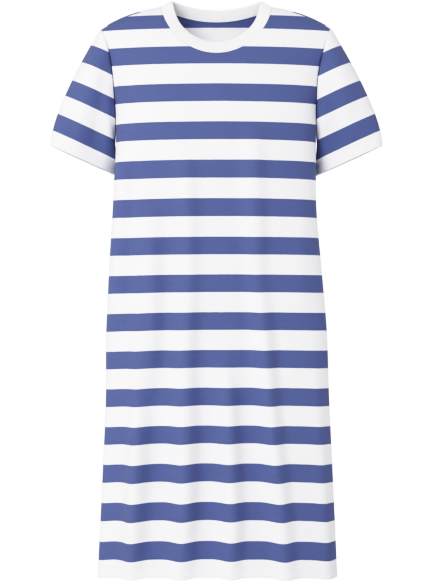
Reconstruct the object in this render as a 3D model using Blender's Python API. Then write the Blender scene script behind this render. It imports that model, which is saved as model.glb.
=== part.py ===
"""Striped jersey T-shirt dress, filled out as if worn: front, back, two sleeves and a neck rib.

Metres, +Z up, the front faces -Y. The origin is where the shoulders carry the dress, between the two
points where the shoulder line meets the neck.
"""

import math

import bmesh
import bpy
import numpy as np

WALL = 0.0015
HEM_WALL = 0.0024
HEM_DEPTH = 0.022
HEM_STEP = 0.002  # the height over which the turned-up hem thins to the single cloth
SEAM_GAP = 0.0003
LEAST_MITRE = 0.5  # keeps the wall from growing too long where two surfaces meet at a sharp angle
SMOOTH_UNDER = 50.0  # degrees; sharper edges stay sharp
SMALL_STEP = 1e-4  # a step over the surface, in shares or metres, for its normal
SMALL_TURN = 0.02  # the same in degrees over the shoulder
HEM_HEIGHT = -1.050
UNDERARM_HEIGHT = -0.245

# The shoulder ridge falls away from the neck as a power of the distance from the middle.
RIDGE_HEIGHT = 0.001
RIDGE_DROP = 0.046
RIDGE_REACH = 0.215
RIDGE_POWER = 3.1
SEAM_ANGLE = 9.0  # the shoulder seam lies this far forward of the ridge, in degrees over the shoulder

NECK_HALF_WIDTH = 0.102
FRONT_NECK_HEIGHT = -0.095
BACK_NECK_ANGLE = 27.6
BACK_NECK_ROUND = 0.6

RIB_WIDTH = 0.0225
RIB_WALL = 0.0022
RIB_RAISE = 0.0004
RIB_LEAN = (20.0, 64.0)  # degrees from upright, in the middle and at the shoulders
RIB_LEAN_ROUND = 1.5  # how late round the neck the rib starts to lean
RIB_EDGE = ((0.93, 1.0), (1.0, 0.35))  # the fold's rounding: share of the width, share of half the wall
RIBS_PER_FRONT_STEP = 5
RIBS_PER_BACK_STEP = 4

NECK_STEPS = 8
SHOULDER_STEPS = 10
YOKE_STEPS = 12
SKIRT_STEP = 0.047
SLEEVE_STEPS = 12

# Body rings below the underarm: how far the dress reaches to each side, forward and back.
BODY = {
    "height": (-1.050, -0.850, -0.710, -0.600, -0.500, -0.360, -0.300, -0.245),
    "left": (0.2210, 0.2116, 0.2060, 0.2048, 0.1980, 0.1872, 0.1862, 0.1860),
    "right": (0.2250, 0.2159, 0.2090, 0.2048, 0.1960, 0.1843, 0.1840, 0.1840),
    "front": (0.0860, 0.0830, 0.0810, 0.0800, 0.0820, 0.0870, 0.0880, 0.0880),
    "back": (0.0880, 0.0900, 0.0890, 0.0840, 0.0760, 0.0740, 0.0780, 0.0790),
    "squareness": (2.45, 2.45, 2.45, 2.45, 2.5, 2.5, 2.5, 2.5),
}

# The armhole, by degrees over the shoulder from the ridge to the underarm: its distance from the middle.
ARMHOLE = {
    "angle": (0.0, 20.0, 40.0, 60.0, 80.0, 90.0),
    "left": (0.2165, 0.2090, 0.1980, 0.1900, 0.1858, 0.1860),
    "right": (0.2130, 0.2070, 0.1970, 0.1860, 0.1835, 0.1840),
}
ARMHOLE_FORWARD = 0.72  # the armhole edge's share of the body's depth
ARMHOLE_ROUND = 0.6

# Hanging folds: degrees round the body (0 front middle, 90 the right side seam, 180 back middle) under the
# arms and at the hem, the height where each fades out, and its half width and depth at the hem. Between two
# folds the cloth is drawn in, over FOLD_SPREAD times a fold's width.
FOLD_SPREAD = 2.0
FOLD_NARROWS = 0.25  # how much narrower a fold is under the arms than at the hem
FOLD_GROWTH = 1.6  # a fold is full grown this many times sooner than at the hem
GIRTH_TO_REACH = 4.9  # the way round the body, in times its reach to one side
FOLDS = (
    # under_arm, at_hem, fades_at, half_width, depth
    (-53.0, -54.0, -0.20, 0.022, 0.0135),
    (-28.0, -22.0, -0.42, 0.023, 0.0150),
    (2.0, 9.0, -0.60, 0.021, 0.0130),
    (20.5, 43.0, -0.16, 0.022, 0.0165),
    (64.0, 72.0, -0.50, 0.020, 0.0075),
    (104.0, 110.0, -0.34, 0.022, 0.0120),
    (132.0, 141.0, -0.22, 0.024, 0.0165),
    (171.0, 168.0, -0.52, 0.021, 0.0135),
    (203.0, 197.0, -0.30, 0.023, 0.0155),
    (226.0, 229.0, -0.62, 0.021, 0.0120),
    (251.0, 256.0, -0.26, 0.022, 0.0125),
    (284.0, 281.0, -0.55, 0.019, 0.0065),
)

# How much lower the cloth hangs at the side seams than in the middle, by height.
SIDE_DROP = {
    "height": (-1.050, -0.900, -0.600, -0.350, -0.245),
    "left": (0.0055, 0.0058, 0.0048, 0.0015, 0.0),
    "right": (0.0065, 0.0062, 0.0022, 0.0005, 0.0),
}
FOLD_DROP = 0.36  # how much lower a fold hangs at the hem, as a share of how far it stands out

# The cuff is an oval, outer end to inner end, tipped as the arm hangs.
CUFF_OUTER = (0.3075, 0.002, -0.2600)
CUFF_INNER = (0.1845, 0.036, -0.3150)
CUFF_DEPTH = 0.034
SLEEVE_LEAN = 24.7

# How the sleeve leaves the armhole and how far it still leans out at the cuff, by share of the way from the
# shoulder round to the underarm.
SLEEVE = {
    "share": (0.0, 0.25, 0.5, 0.75, 1.0),
    "out": (0.47, 0.62, 0.72, 0.62, 0.30),
    "swell": (0.0, 0.42, 0.40, 0.30, 0.02),
    "down": (0.88, 0.66, 0.56, 0.70, 0.95),
    "length": (0.16, 0.17, 0.16, 0.12, 0.06),
    "cuff_lean": (0.12, 0.35, 0.65, 0.75, 0.40),
}

STRIPED_JERSEY = (0.093, 0.114, 0.323, 1.0)
WHITE_RIB = (0.871, 0.871, 0.905, 1.0)


def curve(at, places, values):
    """A smooth curve through a table's rows: a cubic between each two, with slopes from the neighbours."""
    places, values = np.asarray(places, float), np.asarray(values, float)
    slopes = np.gradient(values, places)
    at = np.clip(at, places[0], places[-1])
    row = np.clip(np.searchsorted(places, at) - 1, 0, len(places) - 2)
    span = places[row + 1] - places[row]
    t = (at - places[row]) / span
    return (
        (1 + 2 * t) * (1 - t) ** 2 * values[row]
        + t * (1 - t) ** 2 * span * slopes[row]
        + t * t * (3 - 2 * t) * values[row + 1]
        + t * t * (t - 1) * span * slopes[row + 1]
    )


def unit(vectors):
    return vectors / np.maximum(np.linalg.norm(vectors, axis=-1, keepdims=True), 1e-12)


def eased(share):
    share = np.clip(share, 0.0, 1.0)
    return share * share * (3 - 2 * share)


def ridge_height(x):
    return RIDGE_HEIGHT - RIDGE_DROP * (np.abs(x) / RIDGE_REACH) ** RIDGE_POWER


def body_at(column, height):
    return curve(height, BODY["height"], BODY[column])


def skirt_point(share, height, side):
    """A point below the underarm: share is -1 at the left seam and 1 at the right, side is front or back."""
    power = body_at("squareness", height)
    reach = np.where(share < 0, body_at("left", height), body_at("right", height))
    depth = body_at(side, height) * (1 - np.abs(share) ** power) ** (1 / power)
    forward = -1 if side == "front" else 1
    return np.array([share * reach, forward * depth, height])


def yoke_point(share, angle, side):
    """A point above the underarm, by degrees over the shoulder: 0 is the ridge, 90 the underarm's height."""
    if angle < 0:
        angle, side = -angle, "front" if side == "back" else "back"
    reach = curve(angle, ARMHOLE["angle"], ARMHOLE["left" if share < 0 else "right"])
    x = share * reach
    over = math.radians(angle)
    height = UNDERARM_HEIGHT + (ridge_height(x) - UNDERARM_HEIGHT) * math.cos(over)
    power = body_at("squareness", UNDERARM_HEIGHT)
    edge = ARMHOLE_FORWARD * math.cos(over) ** ARMHOLE_ROUND
    turned = (1 - edge**power) ** (1 / power) * abs(share)
    depth = body_at(side, UNDERARM_HEIGHT) * math.sin(over) * (1 - turned**power) ** (1 / power)
    forward = -1 if side == "front" else 1
    return np.array([x, forward * depth, height])


def neck_edge(turn, side):
    """The neckline's place by its turn from the middle to the shoulder: x at the shoulder, and the angle."""
    x = NECK_HALF_WIDTH * math.sin(turn)
    if side == "back":
        swing = (BACK_NECK_ANGLE + SEAM_ANGLE) * max(math.cos(turn), 0.0) ** BACK_NECK_ROUND
        return x, swing - SEAM_ANGLE
    fall = ridge_height(NECK_HALF_WIDTH) - UNDERARM_HEIGHT
    shoulder = UNDERARM_HEIGHT + fall * math.cos(math.radians(SEAM_ANGLE))
    height = shoulder - (shoulder - FRONT_NECK_HEIGHT) * math.cos(turn)
    rise = (height - UNDERARM_HEIGHT) / (ridge_height(x) - UNDERARM_HEIGHT)
    return x, math.degrees(math.acos(rise))


def column_tops(side):
    """For each column of a panel, its share of the width and the angle over the shoulder where it ends."""
    seam = SEAM_ANGLE if side == "front" else -SEAM_ANGLE
    tops = []
    for step in range(-NECK_STEPS, NECK_STEPS + 1):
        x, angle = neck_edge(abs(step) / NECK_STEPS * math.pi / 2, side)
        wing = "left" if step < 0 else "right"
        reach = curve(SEAM_ANGLE, ARMHOLE["angle"], ARMHOLE[wing])
        tops.append((math.copysign(x, step) / reach, angle))
    power = body_at("squareness", UNDERARM_HEIGHT)
    for sign in (-1, 1):
        first = abs(tops[0 if sign < 0 else -1][0])
        start = math.asin(first ** (power / 2))
        for step in range(1, SHOULDER_STEPS + 1):
            swing = start + (math.pi / 2 - start) * step / SHOULDER_STEPS
            top = (sign * math.sin(swing) ** (2 / power), seam)
            if sign < 0:
                tops.insert(0, top)
            else:
                tops.append(top)
    return tops


def skirt_heights():
    rows = round((UNDERARM_HEIGHT - HEM_HEIGHT - HEM_DEPTH) / SKIRT_STEP)
    above_hem = np.linspace(HEM_HEIGHT + HEM_DEPTH + HEM_STEP, UNDERARM_HEIGHT, rows + 1)
    return [HEM_HEIGHT, HEM_HEIGHT + HEM_DEPTH, *above_hem[:-1]]


def surface_normal(place, share, level, side):
    """The outward normal of the smooth surface, from a small step across it and one up it."""
    here = place(share, level, side)
    across = SMALL_STEP if share < 0 else -SMALL_STEP
    sideways = (place(share + across, level, side) - here) / across
    if place is skirt_point:
        upwards = here - place(share, level - SMALL_STEP, side)
    else:
        upwards = place(share, level - SMALL_TURN, side) - here
    normal = np.cross(sideways, upwards)
    return unit(normal if side == "front" else -normal)


def panel(side):
    """A panel's outer points and normals, hem to shoulder, left to right, before its folds."""
    tops = column_tops(side)
    rows, normals = [], []
    for height in skirt_heights():
        rows.append([skirt_point(share, height, side) for share, _ in tops])
        normals.append([surface_normal(skirt_point, share, height, side) for share, _ in tops])
    for step in range(YOKE_STEPS + 1):
        levels = [(share, 90.0 + (top - 90.0) * step / YOKE_STEPS) for share, top in tops]
        rows.append([yoke_point(share, angle, side) for share, angle in levels])
        normals.append([surface_normal(yoke_point, share, angle, side) for share, angle in levels])
    return np.array(rows), np.array(normals)


def degrees_round(points, side):
    """Each point's place round the body, worked out along its own row from the panel's middle column."""
    steps = np.linalg.norm(np.diff(points[:, :, :2], axis=1), axis=-1)
    along = np.concatenate([np.zeros((len(points), 1)), np.cumsum(steps, axis=1)], axis=1)
    middle = points.shape[1] // 2
    offset = along - along[:, middle : middle + 1]
    left, right = -offset[:, :1], offset[:, -1:]
    turn = np.where(offset < 0, offset / left, offset / right) * 90.0
    return turn if side == "front" else 180.0 - turn


def fold_depth(round_degrees, height):
    """How far the folds push the cloth out or in at a place."""
    total = np.zeros_like(height)
    girth = curve(height, BODY["height"], BODY["left"]) * GIRTH_TO_REACH
    for under_arm, at_hem, fades_at, half_width, depth in FOLDS:
        fall = np.clip((UNDERARM_HEIGHT - height) / (UNDERARM_HEIGHT - HEM_HEIGHT), 0.0, 1.0)
        crest = under_arm + (at_hem - under_arm) * fall
        away = (round_degrees - crest + 180.0) % 360.0 - 180.0
        grows = eased((fades_at - height) / (fades_at - HEM_HEIGHT) * FOLD_GROWTH)
        away = away / 360.0 * girth / (half_width * (1 - FOLD_NARROWS * (1 - fall)))
        drawn_in = np.exp(-((away / FOLD_SPREAD) ** 2)) / FOLD_SPREAD
        total += depth * grows * (np.exp(-(away**2)) - drawn_in)
    return total


def hang(points, push):
    """How much lower the cloth hangs at a place, towards the sides and in the folds that stand out."""
    x, height = points[:, :, 0], points[:, :, 2]
    share = np.where(x < 0, x / -x[:, :1], x / x[:, -1:])
    drops = [curve(height, SIDE_DROP["height"], SIDE_DROP[wing]) for wing in ("left", "right")]
    fall = np.clip((UNDERARM_HEIGHT - height) / (UNDERARM_HEIGHT - HEM_HEIGHT), 0.0, 1.0)
    return share**2 * np.where(x < 0, *drops) + FOLD_DROP * fall**2 * push


def solid(name, outer, inner, ring, material):
    """A closed wall between two grids of points; a ring joins its last column to its first."""
    rows, columns = outer.shape[:2]
    mesh = bpy.data.meshes.new(name)
    skin = bmesh.new()
    out, inn = [[[skin.verts.new(p) for p in row] for row in layer] for layer in (outer, inner)]
    last = columns if ring else columns - 1
    for layer in (out, inn):
        for r in range(rows - 1):
            for c in range(last):
                n = (c + 1) % columns
                skin.faces.new((layer[r][c], layer[r][n], layer[r + 1][n], layer[r + 1][c]))
    for r in (0, rows - 1):
        for c in range(last):
            n = (c + 1) % columns
            skin.faces.new((out[r][c], out[r][n], inn[r][n], inn[r][c]))
    if not ring:
        for c in (0, columns - 1):
            for r in range(rows - 1):
                skin.faces.new((out[r][c], out[r + 1][c], inn[r + 1][c], inn[r][c]))
    bmesh.ops.recalc_face_normals(skin, faces=skin.faces)
    skin.to_mesh(mesh)
    skin.free()
    mesh.shade_smooth()
    mesh.set_sharp_from_angle(angle=math.radians(SMOOTH_UNDER))
    mesh.materials.append(material)
    thing = bpy.data.objects.new(name, mesh)
    bpy.context.scene.collection.objects.link(thing)
    return thing


def fabric(name, colour, roughness):
    material = bpy.data.materials.new(name)
    material.use_nodes = True
    shader = material.node_tree.nodes["Principled BSDF"]
    shader.inputs["Base Color"].default_value = colour
    shader.inputs["Roughness"].default_value = roughness
    shader.inputs["Metallic"].default_value = 0.0
    return material


def mitre(first, second):
    """The wall direction where two surfaces meet, lengthened so that both keep their thickness."""
    middle = unit(first + second)
    meet = np.sum(middle * first, axis=-1, keepdims=True)
    return middle / np.clip(meet, LEAST_MITRE, 1.0)


def seam_shift(wall_direction, along, towards):
    """Half the seam gap, square to the seam and to the wall, on the side that `towards` points to."""
    shift = unit(np.cross(wall_direction, along))
    sign = np.sign(np.sum(shift * towards, axis=-1, keepdims=True))
    return shift * np.where(sign == 0, 1.0, sign) * SEAM_GAP / 2


def loop_tangents(points):
    return unit(np.roll(points, -1, axis=0) - np.roll(points, 1, axis=0))


def hem_walls(distance):
    """The wall's thickness by the distance from a hem, where the cloth is turned up."""
    return np.where(distance < HEM_DEPTH + HEM_STEP / 2, HEM_WALL, WALL)


def armhole_loop(front, back, column, base):
    """The armhole's places in the panels: up the front from the underarm, then down the back."""
    top = len(front) - 1
    up = [("front", r, column) for r in range(base, top + 1)]
    down = [("back", r, column) for r in range(top - 1, base, -1)]
    return up + down


def sleeve_columns(loop_points, sign):
    """The sleeve's points, armhole to cuff, from the armhole's loop. The sign is -1 for the left sleeve."""
    count = len(loop_points)
    top = count // 2
    lengths = np.linalg.norm(np.roll(loop_points, -1, axis=0) - loop_points, axis=1)
    front = np.concatenate([[0.0], np.cumsum(lengths[:top])])
    back = np.concatenate([[0.0], np.cumsum(lengths[top:])])
    share = np.concatenate([1 - front / front[-1], (back / back[-1])[1:-1]])
    face = np.where(np.arange(count) <= top, -1.0, 1.0)
    outer = np.array([sign * CUFF_OUTER[0], *CUFF_OUTER[1:]])
    inner = np.array([sign * CUFF_INNER[0], *CUFF_INNER[1:]])
    round_cuff = (share * math.pi)[:, None]
    cuff = (outer + inner) / 2 + np.cos(round_cuff) * (outer - inner) / 2
    cuff = cuff + np.sin(round_cuff) * CUFF_DEPTH * face[:, None] * np.array([0.0, 1.0, 0.0])
    leaves = unit(
        np.stack(
            [
                sign * curve(share, SLEEVE["share"], SLEEVE["out"]),
                face * curve(share, SLEEVE["share"], SLEEVE["swell"]),
                -curve(share, SLEEVE["share"], SLEEVE["down"]),
            ],
            axis=1,
        )
    )
    leaves = leaves * curve(share, SLEEVE["share"], SLEEVE["length"])[:, None]
    lean = math.radians(SLEEVE_LEAN)
    reach = np.linalg.norm(cuff - loop_points, axis=1)[:, None]
    leans = curve(share, SLEEVE["share"], SLEEVE["cuff_lean"]) * math.sin(lean) * sign
    arrives = np.stack([leans, 0 * leans, 0 * leans - math.cos(lean)], axis=1) * reach
    rows = []
    for t in np.linspace(0.0, 1.0, SLEEVE_STEPS + 1):
        rows.append(
            (1 + 2 * t) * (1 - t) ** 2 * loop_points
            + t * (1 - t) ** 2 * leaves
            + t * t * (3 - 2 * t) * cuff
            + t * t * (t - 1) * arrives
        )
    return np.array(rows)


def rib_cross_section(base, lean_direction, wall_direction, raised):
    """One column of the rib: its six corners from the outer seam edge over the fold to the inner edge."""
    half = RIB_WALL / 2
    (shoulder, full), (tip, rounded) = RIB_EDGE
    corners = ((0.0, half + raised), (shoulder, full * half + raised), (tip, rounded * half))
    corners += ((tip, -rounded * half), (shoulder, -full * half), (0.0, -half))
    return [
        base + lean_direction * RIB_WIDTH * along + wall_direction * (out - half)
        for along, out in corners
    ]


def build():
    for thing in list(bpy.data.objects):
        bpy.data.objects.remove(thing, do_unlink=True)
    jersey = fabric("striped_single_jersey", STRIPED_JERSEY, roughness=0.85)
    rib_knit = fabric("white_rib_knit", WHITE_RIB, roughness=0.8)

    points, normals, above_hem = {}, {}, {}
    for side in ("front", "back"):
        grid, normals[side] = panel(side)
        push = fold_depth(degrees_round(grid, side), grid[:, :, 2])
        points[side] = grid + normals[side] * push[:, :, None]
        points[side][:, :, 2] -= hang(grid, push)
        above_hem[side] = grid[:, :, 2] - HEM_HEIGHT
    base = len(skirt_heights())
    top = base + YOKE_STEPS
    shoulder = [*range(SHOULDER_STEPS + 1), *range(-SHOULDER_STEPS - 1, 0)]
    for edge in (0, -1):
        shared = (points["front"][: base + 1, edge] + points["back"][: base + 1, edge]) / 2
        for side in points:
            points[side][: base + 1, edge] = shared

    walls = {side: normals[side].copy() for side in points}
    gaps = {side: np.zeros_like(points[side]) for side in points}
    for edge in (0, -1):
        joined = mitre(normals["front"][:base, edge], normals["back"][:base, edge])
        for side, forward in (("front", -1.0), ("back", 1.0)):
            walls[side][:base, edge] = joined
            gaps[side][: base + 1, edge] = [0.0, forward * SEAM_GAP / 2, 0.0]
    joined = mitre(normals["front"][top, shoulder], normals["back"][top, shoulder])
    for side, forward in (("front", -1.0), ("back", 1.0)):
        walls[side][top, shoulder] = joined
        gaps[side][top, shoulder] = [0.0, forward * SEAM_GAP / 2, 0.0]

    sleeves = {}
    for name, sign, edge in (("left_sleeve", -1.0, 0), ("right_sleeve", 1.0, -1)):
        places = armhole_loop(points["front"], points["back"], edge, base)
        seam = np.array([points[side][r, c] for side, r, c in places])
        body_normals = np.array([normals[side][r, c] for side, r, c in places])
        underarm_normal = unit(normals["front"][base, edge] + normals["back"][base, edge])
        body_normals[0] = underarm_normal
        grid = sleeve_columns(seam, sign)
        along = loop_tangents(seam)
        facing = unit(np.cross(along, grid[1] - grid[0]))
        away = seam - seam.mean(axis=0)
        facing *= np.sign(np.sum(facing * away, axis=1))[:, None].mean() or 1.0
        wall = mitre(body_normals, facing)
        shift = seam_shift(wall, along, grid[1] - grid[0])
        for place, direction, move in zip(places, wall, shift):
            side, r, c = place
            others = ("front", "back") if r in (base, top) else (side,)
            for other in others:
                walls[other][r, c] = direction
                gaps[other][r, c] = gaps[other][r, c] - move
        ring = np.concatenate([grid[:, -1:], grid, grid[:, :1]], axis=1)
        across, down = np.gradient(ring, axis=1)[:, 1:-1], np.gradient(grid, axis=0)
        sleeve_walls = unit(np.cross(across, down))
        centre = grid.mean(axis=1, keepdims=True)
        sleeve_walls *= np.sign(np.sum(sleeve_walls * (grid - centre), axis=-1).mean())
        sleeve_walls[0] = wall
        grid[0] = grid[0] + shift
        sleeves[name] = (grid, sleeve_walls)

    neck = range(SHOULDER_STEPS, SHOULDER_STEPS + 2 * NECK_STEPS + 1)
    loop = [("front", c) for c in neck] + [("back", c) for c in list(neck)[-2:0:-1]]
    seam = np.array([points[side][top, c] for side, c in loop])
    along = loop_tangents(seam)
    inward = unit(np.cross(np.array([0.0, 0.0, 1.0]), along))
    inward *= np.sign(np.sum(inward * (seam.mean(axis=0) - seam), axis=1).mean())
    sideways = np.abs(inward[:, 0]) ** RIB_LEAN_ROUND
    lean = np.radians(RIB_LEAN[0] + (RIB_LEAN[1] - RIB_LEAN[0]) * sideways)[:, None]
    rises = inward * np.sin(lean) + np.array([0.0, 0.0, 1.0]) * np.cos(lean)
    rises = unit(rises - along * np.sum(rises * along, axis=1, keepdims=True))
    faces = unit(np.cross(along, rises))
    faces *= np.sign(np.sum(faces * (seam - seam.mean(axis=0)), axis=1).mean())
    panel_normals = np.array([normals[side][top, c] for side, c in loop])
    wall = mitre(panel_normals, faces)
    shift = seam_shift(wall, along, rises)
    for place, direction, move in zip(loop, wall, shift):
        side, c = place
        others = ("front", "back") if c in (neck[0], neck[-1]) else (side,)
        for other in others:
            walls[other][top, c] = direction
            gaps[other][top, c] = gaps[other][top, c] - move

    for side, name in (("front", "front_panel"), ("back", "back_panel")):
        outer = points[side] + gaps[side]
        thick = hem_walls(above_hem[side])[:, :, None]
        solid(name, outer, outer - walls[side] * thick, False, jersey)

    for name, (grid, directions) in sleeves.items():
        steps = np.linalg.norm(np.diff(grid, axis=0), axis=-1)
        distance = np.concatenate([np.cumsum(steps[::-1], axis=0)[::-1], np.zeros((1, steps.shape[1]))])
        thick = hem_walls(distance)[:, :, None]
        solid(name, grid, grid - directions * thick, True, jersey)

    columns = []
    for place in range(len(loop)):
        following = (place + 1) % len(loop)
        ribs = RIBS_PER_FRONT_STEP if place < 2 * NECK_STEPS else RIBS_PER_BACK_STEP
        for step in range(2 * ribs):
            t = step / (2 * ribs)
            base_point = (1 - t) * (seam + shift)[place] + t * (seam + shift)[following]
            lean_direction = unit((1 - t) * rises[place] + t * rises[following])
            wall_direction = unit((1 - t) * wall[place] + t * wall[following])
            raised = RIB_RAISE if step % 2 else 0.0
            columns.append(rib_cross_section(base_point, lean_direction, wall_direction, raised))
    rib = np.array(columns).transpose(1, 0, 2)
    solid("neck_rib", rib[:3], rib[:2:-1], True, rib_knit)


build()
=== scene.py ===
"""How the striped jersey T-shirt dress looks: its cloth, stripes, folds, seams and stitches.

Metres, +Z up, the front faces -Y. Left and right are the viewer's.
"""

import math

import bpy
import numpy as np
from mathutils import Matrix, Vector


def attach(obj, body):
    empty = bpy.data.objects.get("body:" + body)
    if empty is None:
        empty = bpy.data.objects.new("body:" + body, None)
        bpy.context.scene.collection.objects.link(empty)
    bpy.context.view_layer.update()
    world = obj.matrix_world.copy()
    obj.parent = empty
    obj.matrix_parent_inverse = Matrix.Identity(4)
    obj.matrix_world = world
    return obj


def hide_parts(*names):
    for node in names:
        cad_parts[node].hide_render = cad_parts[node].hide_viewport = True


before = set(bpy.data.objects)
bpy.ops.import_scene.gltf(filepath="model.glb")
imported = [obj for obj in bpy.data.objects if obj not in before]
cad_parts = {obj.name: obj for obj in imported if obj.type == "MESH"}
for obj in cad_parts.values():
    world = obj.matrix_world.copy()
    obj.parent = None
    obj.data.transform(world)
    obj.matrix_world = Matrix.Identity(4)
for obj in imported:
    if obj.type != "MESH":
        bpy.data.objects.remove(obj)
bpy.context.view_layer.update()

# Front and back of the body. Each is cut in one piece from shoulder to hem in yarn-dyed cotton single
# jersey, then joined by overlocked shoulder and side seams, which show outside as a thin groove. The hem
# is turned up 22 mm and held by two rows of twin-needle stitches.
HEM_HEIGHT = -1.050
HEM_DEPTH = 0.022
HEM_FOLD_RADIUS = 0.00095
HEM_STITCH_ROWS = (0.0172, 0.0212)
UNDERARM_HEIGHT = -0.245
JERSEY_THICKNESS = 0.0008
SEAM_SINK = 0.0007
SEAM_SINK_WIDTH = 0.0015
STITCH_SINK = 0.0003
STITCH_SINK_WIDTH = 0.0010
# Heights of the first rows of points above a hem's edge, and the rows either side of each line of stitches.
LOW_HEM_ROWS = (HEM_FOLD_RADIUS, 0.006, 0.012)
STITCH_ROW_STEP = 0.0012
HEM_BENDS = np.radians([30, 60, 90, 120, 150, 180])

# The shoulder ridge falls away from the neck as a power of the distance from the middle.
RIDGE_HEIGHT = 0.001
RIDGE_DROP = 0.046
RIDGE_REACH = 0.215
RIDGE_POWER = 3.1
SEAM_ANGLE = 9.0

NECK_HALF_WIDTH = 0.102
FRONT_NECK_HEIGHT = -0.095
BACK_NECK_ANGLE = 27.6
BACK_NECK_ROUND = 0.6

# The grid of points on each panel, and the steps that find its slopes: metres and degrees.
NECK_STEPS = 42
LAST_NECK_TURN = math.radians(84)
SHOULDER_STEPS = 44
YOKE_STEPS = 62
SKIRT_STEPS = 176
SMALL_STEP = 1e-4
SMALL_TURN = 0.02

# Body rings below the underarm: how far the dress reaches to each side, forward and back.
BODY = {
    "height": (-1.050, -0.850, -0.710, -0.600, -0.500, -0.360, -0.300, -0.245),
    "left": (0.2210, 0.2116, 0.2060, 0.2048, 0.1980, 0.1872, 0.1862, 0.1860),
    "right": (0.2250, 0.2159, 0.2090, 0.2048, 0.1960, 0.1843, 0.1840, 0.1840),
    "front": (0.0860, 0.0830, 0.0810, 0.0800, 0.0820, 0.0870, 0.0880, 0.0880),
    "back": (0.0880, 0.0900, 0.0890, 0.0840, 0.0760, 0.0740, 0.0780, 0.0790),
    "squareness": (2.45, 2.45, 2.45, 2.45, 2.5, 2.5, 2.5, 2.5),
}

# The armhole, by degrees over the shoulder from the ridge to the underarm: its distance from the middle.
ARMHOLE = {
    "angle": (0.0, 20.0, 40.0, 60.0, 80.0, 90.0),
    "left": (0.2165, 0.2090, 0.1980, 0.1900, 0.1858, 0.1860),
    "right": (0.2130, 0.2070, 0.1970, 0.1860, 0.1835, 0.1840),
}
ARMHOLE_FORWARD = 0.72
ARMHOLE_ROUND = 0.6

# Hanging folds: degrees round the body (0 front middle, 90 the right side seam, 180 back middle) under the
# arms and at the hem, the height where each fades out, and its half width and depth at the hem. Between two
# folds the cloth is drawn in, over FOLD_SPREAD times a fold's width.
FOLD_SPREAD = 2.0
FOLD_GROWTH = 1.6  # a fold has its full depth this much sooner than at the hem
FOLD_TOP_WIDTH = 0.75  # a fold's width under the arms, as a share of that at the hem
GIRTH_TO_REACH = 4.9  # the way round the body, as a multiple of its reach to the left
FOLDS = (
    # under_arm, at_hem, fades_at, half_width, depth
    (-53.0, -54.0, -0.20, 0.022, 0.0135),
    (-28.0, -22.0, -0.42, 0.023, 0.0150),
    (2.0, 9.0, -0.60, 0.021, 0.0130),
    (20.5, 43.0, -0.16, 0.022, 0.0165),
    (64.0, 72.0, -0.50, 0.020, 0.0075),
    (104.0, 110.0, -0.34, 0.022, 0.0120),
    (132.0, 141.0, -0.22, 0.024, 0.0165),
    (171.0, 168.0, -0.52, 0.021, 0.0135),
    (203.0, 197.0, -0.30, 0.023, 0.0155),
    (226.0, 229.0, -0.62, 0.021, 0.0120),
    (251.0, 256.0, -0.26, 0.022, 0.0125),
    (284.0, 281.0, -0.55, 0.019, 0.0065),
)

# How much lower the cloth hangs at the side seams than in the middle, by height.
SIDE_DROP = {
    "height": (-1.050, -0.900, -0.600, -0.350, -0.245),
    "left": (0.0055, 0.0058, 0.0048, 0.0015, 0.0),
    "right": (0.0065, 0.0062, 0.0022, 0.0005, 0.0),
}
FOLD_DROP = 0.36  # how much lower a fold hangs at the hem, as a share of how far it stands out

# Smaller creases of the worn cloth: their heights, where they lie across the dress at the top, half way and
# at the bottom, and their half width and depth. A minus depth is a trough. Each rises slowly from its left
# and falls faster to its right.
CREASE_LEFT = 1.45
CREASE_RIGHT = 1.15
CREASE_FADE = 0.28  # the share of a crease's length over which either end fades
CREASE_EDGE = 0.030  # the creases die out this near to the armholes and side seams
FRONT_CREASES = (
    # top, bottom, x_top, x_middle, x_bottom, half_width, depth
    (-0.225, -0.610, -0.162, -0.176, -0.180, 0.0130, 0.0100),
    (-0.345, -0.760, -0.120, -0.116, -0.128, 0.0145, 0.0130),
    (-0.700, -1.060, -0.132, -0.142, -0.148, 0.0150, 0.0140),
    (-0.240, -0.660, -0.058, -0.049, -0.050, 0.0145, 0.0105),
    (-0.500, -1.070, -0.053, -0.050, -0.052, 0.0150, 0.0155),
    (-0.620, -1.070, 0.014, 0.030, 0.036, 0.0145, 0.0120),
    (-0.200, -0.520, 0.068, 0.073, 0.081, 0.0145, 0.0105),
    (-0.440, -1.070, 0.080, 0.100, 0.138, 0.0150, 0.0095),
    (-0.110, -0.250, -0.158, -0.164, -0.160, 0.0110, -0.0028),
    (-0.330, -0.600, 0.150, 0.156, 0.160, 0.0120, 0.0028),
    (-0.120, -0.330, 0.010, 0.016, 0.030, 0.0200, 0.0022),
)
BACK_CREASES = (
    (-0.150, -0.470, -0.070, -0.082, -0.078, 0.0150, 0.0053),
    (-0.300, -0.760, 0.052, 0.046, 0.058, 0.0140, 0.0063),
    (-0.420, -1.060, -0.118, -0.112, -0.128, 0.0140, 0.0074),
    (-0.560, -1.060, 0.124, 0.132, 0.140, 0.0130, 0.0063),
    (-0.640, -1.070, 0.004, -0.006, -0.012, 0.0130, 0.0059),
    (-0.130, -0.300, 0.120, 0.132, 0.150, 0.0120, -0.0035),
    (-0.140, -0.290, -0.130, -0.142, -0.152, 0.0130, -0.0031),
)

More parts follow.
